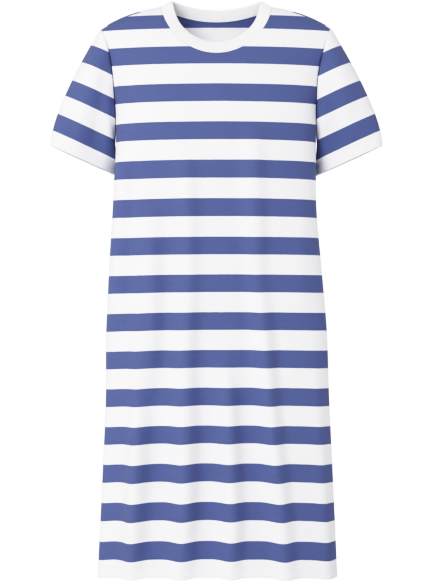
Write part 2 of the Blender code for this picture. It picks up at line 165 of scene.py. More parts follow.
# Where each height of the body lies along the cloth, measured up from the hem, front and back. The skirt's
# cloth is let down or drawn up by a few millimetres, and the shoulders take up a little.
CLOTH_FRONT = (
    # height, length
    (-1.0505, 0.0),
    (-1.0169, 0.0343),
    (-0.983, 0.0670),
    (-0.913, 0.1353),
    (-0.842, 0.2056),
    (-0.704, 0.3443),
    (-0.637, 0.4121),
    (-0.498, 0.5525),
    (-0.431, 0.6204),
    (-0.290, 0.7605),
    (-0.080, 0.9705),
    (-0.0472, 1.0062),
    (-0.0205, 1.0389),
    (0.010, 1.0760),
)
CLOTH_BACK = (
    (-1.0505, 0.0),
    (-0.245, 0.8055),
    (-0.0350, 1.0062),
    (-0.012, 1.0389),
    (0.010, 1.0660),
)
# The stripes of the upper body also sink a little towards the armholes.
STRIPE_SAG = {"height": (-0.450, -0.350, -0.150, 0.010), "drop": (0.0, 0.0012, 0.0017, 0.0017)}


def curve(at, places, values):
    """A smooth curve through a table's rows: a cubic between each two, with slopes from the neighbours."""
    places, values = np.asarray(places, float), np.asarray(values, float)
    slopes = np.gradient(values, places)
    at = np.clip(at, places[0], places[-1])
    row = np.clip(np.searchsorted(places, at) - 1, 0, len(places) - 2)
    span = places[row + 1] - places[row]
    t = (at - places[row]) / span
    return (
        (1 + 2 * t) * (1 - t) ** 2 * values[row]
        + t * (1 - t) ** 2 * span * slopes[row]
        + t * t * (3 - 2 * t) * values[row + 1]
        + t * t * (t - 1) * span * slopes[row + 1]
    )


def unit(vectors):
    return vectors / np.maximum(np.linalg.norm(vectors, axis=-1, keepdims=True), 1e-12)


def eased(share):
    share = np.clip(share, 0.0, 1.0)
    return share * share * (3 - 2 * share)


def ridge_height(x):
    return RIDGE_HEIGHT - RIDGE_DROP * (np.abs(x) / RIDGE_REACH) ** RIDGE_POWER


def body_at(column, height):
    return curve(height, BODY["height"], BODY[column])


def skirt_point(share, height, side):
    """Points below the underarm: share is -1 at the left seam and 1 at the right, side is front or back."""
    power = body_at("squareness", height)
    reach = np.where(share < 0, body_at("left", height), body_at("right", height))
    depth = body_at(side, height) * np.maximum(1 - np.abs(share) ** power, 0.0) ** (1 / power)
    forward = -1 if side == "front" else 1
    return np.stack([share * reach, forward * depth, height + 0 * share], axis=-1)


def yoke_point(share, angle, side):
    """Points above the underarm, by degrees over the shoulder: 0 is the ridge, 90 the underarm's height."""
    own = angle >= 0
    angle = np.abs(angle)
    wings = [curve(angle, ARMHOLE["angle"], ARMHOLE[wing]) for wing in ("left", "right")]
    x = share * np.where(share < 0, *wings)
    over = np.radians(angle)
    height = UNDERARM_HEIGHT + (ridge_height(x) - UNDERARM_HEIGHT) * np.cos(over)
    power = body_at("squareness", UNDERARM_HEIGHT)
    edge = ARMHOLE_FORWARD * np.maximum(np.cos(over), 0.0) ** ARMHOLE_ROUND
    turned = (1 - edge**power) ** (1 / power) * np.abs(share)
    other = "back" if side == "front" else "front"
    depth = np.where(own, body_at(side, UNDERARM_HEIGHT), body_at(other, UNDERARM_HEIGHT))
    depth = depth * np.sin(over) * np.maximum(1 - turned**power, 0.0) ** (1 / power)
    forward = np.where(own, -1, 1) if side == "front" else np.where(own, 1, -1)
    return np.stack([x, forward * depth, height], axis=-1)


def neck_edge(turn, side):
    """The neckline's place by its turn from the middle to the shoulder: x at the shoulder, and the angle."""
    x = NECK_HALF_WIDTH * np.sin(turn)
    if side == "back":
        swing = (BACK_NECK_ANGLE + SEAM_ANGLE) * np.maximum(np.cos(turn), 0.0) ** BACK_NECK_ROUND
        return x, swing - SEAM_ANGLE
    fall = ridge_height(NECK_HALF_WIDTH) - UNDERARM_HEIGHT
    shoulder = UNDERARM_HEIGHT + fall * math.cos(math.radians(SEAM_ANGLE))
    height = shoulder - (shoulder - FRONT_NECK_HEIGHT) * np.cos(turn)
    rise = (height - UNDERARM_HEIGHT) / (ridge_height(x) - UNDERARM_HEIGHT)
    return x, np.degrees(np.arccos(rise))


def column_tops(side):
    """For each column of a panel, its share of the width and the angle over the shoulder where it ends."""
    turns = np.concatenate([np.linspace(0.0, LAST_NECK_TURN, NECK_STEPS), [math.pi / 2]])
    turns = np.concatenate([-turns[:0:-1], turns])
    x, neck_angle = neck_edge(np.abs(turns), side)
    reach = [curve(SEAM_ANGLE, ARMHOLE["angle"], ARMHOLE[wing]) for wing in ("left", "right")]
    neck_share = np.sign(turns) * x / np.where(turns < 0, *reach)
    power = body_at("squareness", UNDERARM_HEIGHT)
    wings = []
    for first in (-neck_share[0], neck_share[-1]):
        start = math.asin(first ** (power / 2))
        swing = start + (math.pi / 2 - start) * np.arange(1, SHOULDER_STEPS + 1) / SHOULDER_STEPS
        wings.append(np.sin(swing) ** (2 / power))
    share = np.concatenate([-wings[0][::-1], neck_share, wings[1]])
    shoulder_angle = np.full(SHOULDER_STEPS, SEAM_ANGLE if side == "front" else -SEAM_ANGLE)
    return share, np.concatenate([shoulder_angle, neck_angle, shoulder_angle])


def surface_normal(place, share, level, side):
    """The outward normal of the smooth surface, from a small step across it and one up it."""
    here = place(share, level, side)
    across = np.where(share < 0, SMALL_STEP, -SMALL_STEP)
    sideways = (place(share + across, level, side) - here) / across[..., None]
    if place is skirt_point:
        upwards = here - place(share, level - SMALL_STEP, side)
    else:
        upwards = place(share, level - SMALL_TURN, side) - here
    normal = np.cross(sideways, upwards)
    return unit(normal if side == "front" else -normal)


def skirt_heights():
    """Row heights below the underarm, closer together round the hem's stitches."""
    near_hem = list(LOW_HEM_ROWS)
    for row in HEM_STITCH_ROWS:
        near_hem += [row - STITCH_ROW_STEP, row, row + STITCH_ROW_STEP]
    start = HEM_STITCH_ROWS[-1] + 0.004
    above = np.linspace(HEM_HEIGHT + start, UNDERARM_HEIGHT, SKIRT_STEPS)
    return np.concatenate([HEM_HEIGHT + np.array(near_hem), above[:-1]])


def degrees_round(points, side):
    """Each point's place round the body, worked out along its own row from the panel's middle column."""
    steps = np.linalg.norm(np.diff(points[:, :, :2], axis=1), axis=-1)
    along = np.concatenate([np.zeros((len(points), 1)), np.cumsum(steps, axis=1)], axis=1)
    middle = points.shape[1] // 2
    offset = along - along[:, middle : middle + 1]
    left, right = -offset[:, :1], offset[:, -1:]
    turn = np.where(offset < 0, offset / left, offset / right) * 90.0
    return (turn if side == "front" else 180.0 - turn), offset


def fold_depth(round_degrees, height):
    """How far the large folds push the cloth out or in at a place."""
    total = np.zeros_like(height)
    girth = curve(height, BODY["height"], BODY["left"]) * GIRTH_TO_REACH
    for under_arm, at_hem, fades_at, half_width, depth in FOLDS:
        fall = np.clip((UNDERARM_HEIGHT - height) / (UNDERARM_HEIGHT - HEM_HEIGHT), 0.0, 1.0)
        crest = under_arm + (at_hem - under_arm) * fall
        away = (round_degrees - crest + 180.0) % 360.0 - 180.0
        grows = eased((fades_at - height) / (fades_at - HEM_HEIGHT) * FOLD_GROWTH)
        width = half_width * (FOLD_TOP_WIDTH + (1 - FOLD_TOP_WIDTH) * fall)
        away = away / 360.0 * girth / width
        drawn_in = np.exp(-((away / FOLD_SPREAD) ** 2)) / FOLD_SPREAD
        total += depth * grows * (np.exp(-(away**2)) - drawn_in)
    return total


def hang(points, push):
    """How much lower the cloth hangs at a place, towards the sides and in the folds that stand out."""
    x, height = points[:, :, 0], points[:, :, 2]
    share = np.where(x < 0, x / -x[:, :1], x / x[:, -1:])
    drops = [curve(height, SIDE_DROP["height"], SIDE_DROP[wing]) for wing in ("left", "right")]
    fall = np.clip((UNDERARM_HEIGHT - height) / (UNDERARM_HEIGHT - HEM_HEIGHT), 0.0, 1.0)
    return share**2 * np.where(x < 0, *drops) + FOLD_DROP * fall**2 * push


def crease_depth(points, creases):
    """How far the smaller creases push the cloth out or in at each point of a grid."""
    x, height = points[:, :, 0], points[:, :, 2]
    total = np.zeros_like(x)
    for top, bottom, x_top, x_middle, x_bottom, half_width, depth in creases:
        down = (top - height) / (top - bottom)
        away = x - curve(down, (0.0, 0.5, 1.0), (x_top, x_middle, x_bottom))
        away = away / half_width / np.where(away < 0, CREASE_LEFT, CREASE_RIGHT)
        shows = eased(down / CREASE_FADE) * eased((1 - down) / CREASE_FADE)
        total += depth * shows * np.exp(-(away**2))
    return total


def edge_distance(points):
    """How far each point of a grid is from the nearer side edge, along its row."""
    steps = np.linalg.norm(np.diff(points, axis=1), axis=-1)
    along = np.concatenate([np.zeros((len(points), 1)), np.cumsum(steps, axis=1)], axis=1)
    return np.minimum(along, along[:, -1:] - along)


def panel(side):
    """A panel's outer points, normals and cloth coordinates, hem to shoulder, left to right."""
    share, tops = column_tops(side)
    heights = skirt_heights()[:, None]
    share_grid = np.broadcast_to(share, (len(heights), len(share)))
    height_grid = np.broadcast_to(heights, share_grid.shape)
    skirt = skirt_point(share_grid, height_grid, side)
    skirt_normals = surface_normal(skirt_point, share_grid, height_grid, side)
    step = np.linspace(0.0, 1.0, YOKE_STEPS + 1)[:, None]
    angles = 90.0 + (tops - 90.0) * step
    share_grid = np.broadcast_to(share, angles.shape)
    yoke = yoke_point(share_grid, angles, side)
    yoke_normals = surface_normal(yoke_point, share_grid, angles, side)
    points = np.concatenate([skirt, yoke])
    normals = np.concatenate([skirt_normals, yoke_normals])
    turn, across = degrees_round(points, side)
    push = fold_depth(turn, points[:, :, 2])
    cloth = CLOTH_FRONT if side == "front" else CLOTH_BACK
    creases = FRONT_CREASES if side == "front" else BACK_CREASES
    length = np.interp(points[:, :, 2], *np.transpose(cloth))
    sag = curve(points[:, :, 2], STRIPE_SAG["height"], STRIPE_SAG["drop"])
    length = length + share**2 * sag
    near_edge = eased(edge_distance(points) / CREASE_EDGE)
    out = push + crease_depth(points, creases) * near_edge
    moved = points + normals * out[:, :, None]
    moved[:, :, 2] -= hang(points, push)
    return moved, normals, np.stack([across, length], axis=-1)


def cloth_piece(name, points, cloth, ring, material):
    """A thin cloth piece from a grid of outer points, with its cloth coordinates as its UV map."""
    rows, columns = points.shape[:2]
    number = np.arange(rows * columns).reshape(rows, columns)
    if ring:
        number = np.concatenate([number, number[:, :1]], axis=1)
    corners = [number[:-1, :-1], number[:-1, 1:], number[1:, 1:], number[1:, :-1]]
    faces = np.stack([corner.ravel() for corner in corners], axis=1)
    flat = points.reshape(-1, 3)
    a, b, c = (flat[faces[:, k]] for k in range(3))
    axis = points.mean(axis=1, keepdims=True)
    if not ring:
        axis = axis * [0.0, 0.0, 1.0]
    outwards = (points - axis).reshape(-1, 3)[faces[:, 0]]
    if np.sum(np.cross(b - a, c - b) * outwards) < 0:
        faces = faces[:, ::-1]
    mesh = bpy.data.meshes.new(name)
    mesh.from_pydata(flat.tolist(), [], faces.tolist())
    # The cloth coordinate goes on past a ring's first column, so the stripes never run backwards.
    unwrapped = cloth.reshape(-1, 2)[faces]
    if ring:
        span = cloth[:, :, 0].max()
        first, last = faces % columns == 0, (faces % columns == columns - 1).any(axis=1)
        unwrapped[:, :, 0] += np.where(first & last[:, None], span, 0.0)
    layer = mesh.uv_layers.new(name="cloth")
    layer.data.foreach_set("uv", unwrapped.ravel())
    mesh.shade_smooth()
    mesh.materials.append(material)
    piece = bpy.data.objects.new(name, mesh)
    bpy.context.scene.collection.objects.link(piece)
    wall = piece.modifiers.new("jersey", "SOLIDIFY")
    wall.thickness = JERSEY_THICKNESS
    wall.offset = -1.0
    return piece


def linear(code):
    """An sRGB hex colour as linear red, green, blue and alpha."""
    parts = [int(code[k : k + 2], 16) / 255 for k in (0, 2, 4)]
    return (*[p / 12.92 if p <= 0.04045 else ((p + 0.055) / 1.055) ** 2.4 for p in parts], 1.0)


def add_node(tree, kind, links=(), **settings):
    """A node with its settings. Links are pairs of an input and its source: a node, a socket or a value."""
    node = tree.nodes.new(kind)
    for key, value in settings.items():
        setattr(node, key, value)
    for place, source in links:
        if isinstance(source, bpy.types.Node):
            source = source.outputs[0]
        if isinstance(source, bpy.types.NodeSocket):
            tree.links.new(source, node.inputs[place])
        else:
            node.inputs[place].default_value = source
    return node


# Yarn-dyed single jersey in cotton: a matt, slightly hairy face of fine upright columns of stitches.
# White and blue yarns alternate in courses, so the stripes are part of the cloth and show on both faces.
STRIPE_REPEAT = 0.0693
BLUE_SHARE = 0.472
FIRST_BLUE = 0.0343
JERSEY_WHITE = "E6E6E9"
JERSEY_BLUE = "636B92"
# The real columns of stitches are 0.7 mm apart. They are drawn twice as wide to show in a near view.
WALE_PITCH = 0.0014
COURSE_PITCH = 0.0011
EDGE_WANDER = 0.0006
EDGE_BLEND = 0.006  # a stripe's soft edge, as a share of the repeat


def single_jersey():
    material = bpy.data.materials.new("yarn_dyed_cotton_single_jersey")
    material.use_nodes = True
    tree = material.node_tree
    shader = tree.nodes["Principled BSDF"]
    maths = "ShaderNodeMath"
    cloth = add_node(tree, "ShaderNodeUVMap", uv_map="cloth")
    axes = add_node(tree, "ShaderNodeSeparateXYZ", [(0, cloth)])
    across, along = axes.outputs[0], axes.outputs[1]
    # The stripe's edge wanders by up to EDGE_WANDER, as rows of loops do.
    wander = add_node(tree, "ShaderNodeTexNoise", [("Vector", cloth), ("Scale", 90.0)])
    start = -FIRST_BLUE - EDGE_WANDER / 2
    edge = add_node(tree, maths, [(0, wander), (1, EDGE_WANDER), (2, start)], operation="MULTIPLY_ADD")
    moved = add_node(tree, maths, [(0, along), (1, edge)], operation="ADD")
    repeats = add_node(tree, maths, [(0, moved), (1, STRIPE_REPEAT)], operation="DIVIDE")
    place = add_node(tree, maths, [(0, repeats)], operation="FRACT")
    off_middle = add_node(tree, maths, [(0, place), (1, BLUE_SHARE / 2)], operation="SUBTRACT")
    middle = add_node(tree, maths, [(0, off_middle)], operation="ABSOLUTE")
    other_way = add_node(tree, maths, [(0, 1.0), (1, middle)], operation="SUBTRACT")
    nearest = add_node(tree, maths, [(0, middle), (1, other_way)], operation="MINIMUM")
    blue_ends = [(1, BLUE_SHARE / 2 - EDGE_BLEND), (2, BLUE_SHARE / 2 + EDGE_BLEND)]
    blue = add_node(tree, "ShaderNodeMapRange", [(0, nearest), *blue_ends, (3, 1.0), (4, 0.0)])
    stripes = add_node(
        tree,
        "ShaderNodeMix",
        [(0, blue), (6, linear(JERSEY_WHITE)), (7, linear(JERSEY_BLUE))],
        data_type="RGBA",
    )
    # Yarn is never quite even: soft patches and single courses are a little lighter or darker.
    stretched = add_node(tree, "ShaderNodeMapping", [(0, cloth), (3, (1.0, 14.0, 1.0))])
    yarn = add_node(tree, "ShaderNodeTexNoise", [("Vector", stretched), ("Scale", 42.0)])
    shade = add_node(tree, "ShaderNodeMapRange", [(0, yarn), (1, 0.3), (2, 0.7), (3, 0.975), (4, 1.02)])
    dyed = add_node(
        tree, "ShaderNodeVectorMath", [(0, stripes.outputs[2]), (3, shade)], operation="SCALE"
    )
    tree.links.new(dyed.outputs[0], shader.inputs["Base Color"])
    # Each column of stitches is a row of small V shapes.
    columns = add_node(tree, maths, [(0, across), (1, WALE_PITCH)], operation="DIVIDE")
    column = add_node(tree, maths, [(0, columns)], operation="FRACT")
    off_wale = add_node(tree, maths, [(0, column), (1, 0.5)], operation="SUBTRACT")
    lean = add_node(tree, maths, [(0, off_wale)], operation="ABSOLUTE")
    courses = add_node(tree, maths, [(0, along), (1, COURSE_PITCH)], operation="DIVIDE")
    course = add_node(tree, maths, [(0, courses), (1, lean)], operation="ADD")
    turns = add_node(tree, maths, [(0, course), (1, 2 * math.pi)], operation="MULTIPLY")
    loops = add_node(tree, maths, [(0, turns)], operation="SINE")
    low_loops = add_node(tree, maths, [(0, loops), (1, 0.18)], operation="MULTIPLY")
    knit = add_node(tree, maths, [(0, low_loops), (1, lean)], operation="SUBTRACT")
    # The fine hairs of spun cotton soften the knit.
    hairs = add_node(tree, "ShaderNodeTexNoise", [("Vector", cloth), ("Scale", 1400.0)])
    soft_hairs = add_node(tree, maths, [(0, hairs), (1, 0.5)], operation="MULTIPLY")
    surface = add_node(tree, maths, [(0, knit), (1, soft_hairs)], operation="ADD")
    bump = add_node(
        tree, "ShaderNodeBump", [("Strength", 0.35), ("Distance", 0.0003), ("Height", surface)]
    )
    tree.links.new(bump.outputs[0], shader.inputs["Normal"])
    shader.inputs["Roughness"].default_value = 0.92
    shader.inputs["Specular IOR Level"].default_value = 0.25
    shader.inputs["Sheen Weight"].default_value = 0.12
    shader.inputs["Sheen Roughness"].default_value = 0.5
    return material


jersey = single_jersey()
base = len(skirt_heights())
top = base + YOKE_STEPS
panel_points, panel_normals, panel_cloth = {}, {}, {}
for side in ("front", "back"):
    panel_points[side], panel_normals[side], panel_cloth[side] = panel(side)
for edge in (0, -1):
    shared = (panel_points["front"][: base + 1, edge] + panel_points["back"][: base + 1, edge]) / 2
    for side in panel_points:
        panel_points[side][: base + 1, edge] = shared


def dressed_panel(side):
    """The panel's points with its seams and stitches sunk in, and the hem turned up inside."""
    points, normals = panel_points[side].copy(), panel_normals[side]
    cloth = panel_cloth[side]
    above_hem = skirt_heights() - HEM_HEIGHT
    from_side = edge_distance(points)
    upright = np.linalg.norm(np.diff(points, axis=0), axis=-1)
    from_top = np.cumsum(np.concatenate([upright, np.zeros((1, points.shape[1]))])[::-1], axis=0)[::-1]
    sink = SEAM_SINK * np.exp(-((np.minimum(from_side, from_top) / SEAM_SINK_WIDTH) ** 2))
    for row in HEM_STITCH_ROWS:
        away = np.abs(above_hem - row)[:, None]
        sink[: len(above_hem)] += STITCH_SINK * np.exp(-((away / STITCH_SINK_WIDTH) ** 2))
    points = points - normals * sink[:, :, None]
    rows, lengths = [points], [cloth]
    bottom, out = points[0], normals[0]
    for turned in HEM_BENDS:
        inwards = HEM_FOLD_RADIUS * (1 - math.cos(turned))
        down = [0.0, 0.0, HEM_FOLD_RADIUS * math.sin(turned)]
        rows.insert(0, (bottom - out * inwards - down)[None])
        lengths.insert(0, (cloth[0] - [0.0, HEM_FOLD_RADIUS * turned])[None])
    for row, height in enumerate(above_hem):
        if 0 < row and height <= HEM_DEPTH:
            inside = panel_points[side][row] - normals[row] * 2 * HEM_FOLD_RADIUS
            rows.insert(0, inside[None])
            lengths.insert(0, (cloth[0] - [0.0, height])[None])
    return np.concatenate(rows), np.concatenate(lengths)


for side, name in (("front", "front_panel"), ("back", "back_panel")):
    points, cloth = dressed_panel(side)
    piece = cloth_piece(name + "_cloth", points, cloth, False, jersey)
    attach(piece, "root")
    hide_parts(name)

# Two short set-in sleeves in the same jersey, cut across the stripes. Each is joined round the armhole,
# closed under the arm, and its cuff is turned up and twin-needle stitched like the hem.
CUFF_OUTER = (0.3075, 0.002, -0.2600)
CUFF_INNER = (0.1845, 0.036, -0.3150)
CUFF_DEPTH = 0.034
SLEEVE_LEAN = 24.7
SLEEVE_STEPS = 54
# How the sleeve leaves the armhole and how far it still leans out at the cuff, by share of the way from the
# shoulder round to the underarm.
SLEEVE = {
    "share": (0.0, 0.25, 0.5, 0.75, 1.0),
    "out": (0.47, 0.62, 0.72, 0.62, 0.30),
    "swell": (0.0, 0.42, 0.40, 0.30, 0.02),
    "down": (0.88, 0.66, 0.56, 0.70, 0.95),
    "length": (0.16, 0.17, 0.16, 0.12, 0.06),
    "cuff_lean": (0.12, 0.35, 0.65, 0.75, 0.40),
}
# Heights along the sleeve's axis above the cuff, and where the stripes' edges lie along its cloth there.
CLOTH_SLEEVE = (
    (-0.050, -0.041),
    (0.0268, 0.0343),
    (0.0588, 0.0670),
    (0.0943, 0.1036),
    (0.1258, 0.1363),
    (0.1634, 0.1729),
    (0.1994, 0.2056),
    (0.260, 0.266),
)
# Soft creases fan out from the armhole to the cuff, the same in front and behind. Columns as for the front.
SLEEVE_CREASES = (
    (-0.060, -0.300, 0.212, 0.238, 0.268, 0.0110, 0.0026),
    (-0.090, -0.310, 0.198, 0.216, 0.236, 0.0100, -0.0024),
    (-0.150, -0.320, 0.190, 0.198, 0.208, 0.0085, 0.0024),
)


def sleeve(sign):
    """A sleeve's outer points and cloth coordinates, armhole to cuff. The sign is -1 for the left one."""
    edge = 0 if sign < 0 else -1
    up = panel_points["front"][base : top + 1, edge]
    down = panel_points["back"][top - 1 : base : -1, edge]
    loop = np.concatenate([up, down])
    count, highest = len(loop), len(up) - 1
    lengths = np.linalg.norm(np.roll(loop, -1, axis=0) - loop, axis=1)
    front = np.concatenate([[0.0], np.cumsum(lengths[:highest])])
    back = np.concatenate([[0.0], np.cumsum(lengths[highest:])])
    share = np.concatenate([1 - front / front[-1], (back / back[-1])[1:-1]])
    face = np.where(np.arange(count) <= highest, -1.0, 1.0)
    outer = np.array([sign * CUFF_OUTER[0], *CUFF_OUTER[1:]])
    inner = np.array([sign * CUFF_INNER[0], *CUFF_INNER[1:]])
    round_cuff = (share * math.pi)[:, None]
    cuff = (outer + inner) / 2 + np.cos(round_cuff) * (outer - inner) / 2
    cuff = cuff + np.sin(round_cuff) * CUFF_DEPTH * face[:, None] * np.array([0.0, 1.0, 0.0])
    leaves = unit(
        np.stack(
            [
                sign * curve(share, SLEEVE["share"], SLEEVE["out"]),
                face * curve(share, SLEEVE["share"], SLEEVE["swell"]),
                -curve(share, SLEEVE["share"], SLEEVE["down"]),
            ],
            axis=1,
        )
    )
    leaves = leaves * curve(share, SLEEVE["share"], SLEEVE["length"])[:, None]
    lean = math.radians(SLEEVE_LEAN)
    reach = np.linalg.norm(cuff - loop, axis=1)[:, None]
    leans = curve(share, SLEEVE["share"], SLEEVE["cuff_lean"]) * math.sin(lean) * sign
    arrives = np.stack([leans, 0 * leans, 0 * leans - math.cos(lean)], axis=1) * reach
    t = np.linspace(0.0, 1.0, 240)[:, None, None]
    dense = (
        (1 + 2 * t) * (1 - t) ** 2 * loop
        + t * (1 - t) ** 2 * leaves
        + t * t * (3 - 2 * t) * cuff
        + t * t * (t - 1) * arrives
    )
    # Rows keep their distance from the cuff's edge near it, and spread evenly up to the armhole.
    steps = np.linalg.norm(np.diff(dense, axis=0), axis=-1)
    from_cuff = np.concatenate([np.cumsum(steps[::-1], axis=0)[::-1], np.zeros((1, count))])
    near_cuff = list(LOW_HEM_ROWS)
    for row in HEM_STITCH_ROWS:
        near_cuff += [row - STITCH_ROW_STEP, row, row + STITCH_ROW_STEP]
    near_cuff = np.array(near_cuff)
    share_up = np.linspace(0.0, 1.0, SLEEVE_STEPS)[:, None]
    start = near_cuff[-1] + 0.003
    near_rows = np.broadcast_to(near_cuff[:, None], (len(near_cuff), count))
    distances = np.concatenate([near_rows, start + (from_cuff[0] - start) * share_up])[::-1]
    grid = np.empty((len(distances), count, 3))
    for column in range(count):
        for axis in range(3):
            known = from_cuff[::-1, column], dense[::-1, column, axis]
            grid[:, column, axis] = np.interp(distances[:, column], *known)
    ring = np.concatenate([grid[:, -1:], grid, grid[:, :1]], axis=1)
    normals = unit(np.cross(np.gradient(ring, axis=1)[:, 1:-1], np.gradient(grid, axis=0)))
    normals *= np.sign(np.sum(normals * (grid - grid.mean(axis=1, keepdims=True)), axis=-1).mean())
    creases = crease_depth(grid * [sign, 1.0, 1.0], SLEEVE_CREASES)
    creases = creases * eased((distances[0] - distances) / CREASE_EDGE)
    grid = grid + normals * creases[:, :, None]
    axis_up = np.array([-sign * math.sin(lean), 0.0, math.cos(lean)])
    height = (grid - (outer + inner) / 2) @ axis_up
    length = np.interp(height, *np.transpose(CLOTH_SLEEVE))
    around = np.concatenate([np.zeros(1), np.cumsum(lengths)[:-1]])
    cloth = np.stack([np.broadcast_to(around, height.shape), length], axis=-1)
    sink = SEAM_SINK * np.exp(-(((distances[0] - distances) / SEAM_SINK_WIDTH) ** 2))
    for row in HEM_STITCH_ROWS:
        sink = sink + STITCH_SINK * np.exp(-(((distances - row) / STITCH_SINK_WIDTH) ** 2))
    sunk = grid - normals * sink[:, :, None]
    rows, lengths = [sunk], [cloth]
    bottom, out = sunk[-1], normals[-1]
    downwards = unit(grid[-1] - grid[-3])
    for turned in HEM_BENDS:
        inwards = HEM_FOLD_RADIUS * (1 - math.cos(turned))
        rows.append((bottom - out * inwards + downwards * HEM_FOLD_RADIUS * math.sin(turned))[None])
        lengths.append((cloth[-1] - [0.0, HEM_FOLD_RADIUS * turned])[None])
    for row in range(2, 12):
        if distances[-row, 0] <= HEM_DEPTH:
            rows.append((grid[-row] - normals[-row] * 2 * HEM_FOLD_RADIUS)[None])
            lengths.append((cloth[-1] - [0.0, distances[-row, 0]])[None])
    stitch_paths = [sunk[np.abs(distances[:, 0] - row).argmin()] for row in HEM_STITCH_ROWS]
    return np.concatenate(rows), np.concatenate(lengths), stitch_paths


cuff_paths, sleeve_pieces = {}, []
for name, sign in (("left_sleeve", -1.0), ("right_sleeve", 1.0)):
    points, cloth, paths = sleeve(sign)
    cuff_paths[name] = paths
    piece = cloth_piece(name + "_cloth", points, cloth, True, jersey)
    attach(piece, "root")
    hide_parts(name)
    sleeve_pieces.append(piece)

# The neck is finished with a straight strip of white 1 x 1 rib, folded double, joined to a ring and sewn to
# the neckline a little shorter than it, so that it draws in and stands up.
RIB_WIDTH = 0.0225
RIB_WALL = 0.0022
RIB_LEAN = (20.0, 64.0)  # degrees inwards from upright, in the middle and at the shoulders
RIB_LEAN_ROUND = 1.5
RIB_PITCH = 0.0021
RIB_DEPTH = 0.00035
RIB_PUFF = 0.0005
RIB_COLUMNS_PER_WALE = 6
WALES_FOR_DIRECTION = 4  # the strip's direction is taken over this many wales either way
# The knit is spun cotton, so its white is matt and soft, with faint patches and a fuzz over the loops.
RIB_WHITE = "E6E6E7"


def rib_knit():
    material = bpy.data.materials.new("white_cotton_rib_knit")
    material.use_nodes = True
    tree = material.node_tree
    shader = tree.nodes["Principled BSDF"]
    cloth = add_node(tree, "ShaderNodeUVMap", uv_map="cloth")
    patches = add_node(tree, "ShaderNodeTexNoise", [("Vector", cloth), ("Scale", 60.0)])
    shade = add_node(
        tree, "ShaderNodeMapRange", [(0, patches), (1, 0.3), (2, 0.7), (3, 0.98), (4, 1.01)]
    )
    white = linear(RIB_WHITE)[:3]
    coloured = add_node(tree, "ShaderNodeVectorMath", [(0, white), (3, shade)], operation="SCALE")
    tree.links.new(coloured.outputs[0], shader.inputs["Base Color"])
    # Rows of loops run along the strip, with the hairs of spun cotton over them.
    axes = add_node(tree, "ShaderNodeSeparateXYZ", [(0, cloth)])
    rate = 2 * math.pi / COURSE_PITCH
    course = add_node(tree, "ShaderNodeMath", [(0, axes.outputs[1]), (1, rate)], operation="MULTIPLY")
    loops = add_node(tree, "ShaderNodeMath", [(0, course)], operation="SINE")
    hairs = add_node(tree, "ShaderNodeTexNoise", [("Vector", cloth), ("Scale", 1400.0)])
    surface = add_node(tree, "ShaderNodeMath", [(0, loops), (1, hairs)], operation="ADD")
    bump = add_node(tree, "ShaderNodeBump", [("Strength", 0.25), ("Distance", 0.0002), ("Height", surface)])
    tree.links.new(bump.outputs[0], shader.inputs["Normal"])
    shader.inputs["Roughness"].default_value = 0.9
    shader.inputs["Specular IOR Level"].default_value = 0.25
    shader.inputs["Sheen Weight"].default_value = 0.12
    shader.inputs["Sheen Roughness"].default_value = 0.5
    return material


def loop_points(closed, count):
    """A closed line's points again, evenly spaced along it, and the line's length."""
    line = np.concatenate([closed, closed[:1]])
    along = np.concatenate([[0.0], np.cumsum(np.linalg.norm(np.diff(line, axis=0), axis=1))])
    at = np.arange(count) / count * along[-1]
    return np.stack([np.interp(at, along, line[:, k]) for k in range(3)], axis=1), along[-1]


neck = np.arange(SHOULDER_STEPS, SHOULDER_STEPS + 2 * NECK_STEPS + 1)
seam = np.concatenate([panel_points["front"][top, neck], panel_points["back"][top, neck[-2:0:-1]]])
ring_length = loop_points(seam, len(seam))[1]
wales = round(ring_length / RIB_PITCH)
seam = loop_points(seam, wales * RIB_COLUMNS_PER_WALE)[0]
reach = RIB_COLUMNS_PER_WALE * WALES_FOR_DIRECTION
along = unit(np.roll(seam, -reach, axis=0) - np.roll(seam, reach, axis=0))
inward = unit(np.cross(np.array([0.0, 0.0, 1.0]), along))
inward *= np.sign(np.sum(inward * (seam.mean(axis=0) - seam), axis=1).mean())
to_shoulder = np.abs(inward[:, :1]) ** RIB_LEAN_ROUND
lean = np.radians(RIB_LEAN[0] + (RIB_LEAN[1] - RIB_LEAN[0]) * to_shoulder)
rises = inward * np.sin(lean) + np.array([0.0, 0.0, 1.0]) * np.cos(lean)
rises = unit(rises - along * np.sum(rises * along, axis=1, keepdims=True))
faces_out = unit(np.cross(along, rises))
faces_out *= np.sign(np.sum(faces_out * (seam - seam.mean(axis=0)), axis=1).mean())

# The strip's section: shares of its width up the outside, round the fold, and down the inside.
OUTER_ROWS = (0.0, 0.04, 0.12, 0.28, 0.44, 0.60, 0.76, 0.90)
FOLD_START, FOLD_SHARE = 0.95, 0.05
INNER_ROWS = (0.90, 0.70, 0.50, 0.30, 0.12, 0.0)
section = [(a, RIB_PUFF * math.sin(math.pi * a)) for a in OUTER_ROWS]
for turned in HEM_BENDS[:-1]:
    bulge = RIB_WALL / 2
    section.append((FOLD_START + FOLD_SHARE * math.sin(turned), -bulge + bulge * math.cos(turned)))
section += [(a, -RIB_WALL - RIB_PUFF * math.sin(math.pi * a)) for a in INNER_ROWS]
rows = [seam + rises * RIB_WIDTH * a + faces_out * out for a, out in section]
rows[0] = rows[0] - faces_out * SEAM_SINK
rows = np.array(rows)
around = np.arange(len(seam)) / len(seam) * ring_length
widths = np.cumsum([0.0, *np.linalg.norm(np.diff(rows, axis=0), axis=2).mean(axis=1)])
rib_cloth = np.stack(np.meshgrid(around, widths), axis=-1)


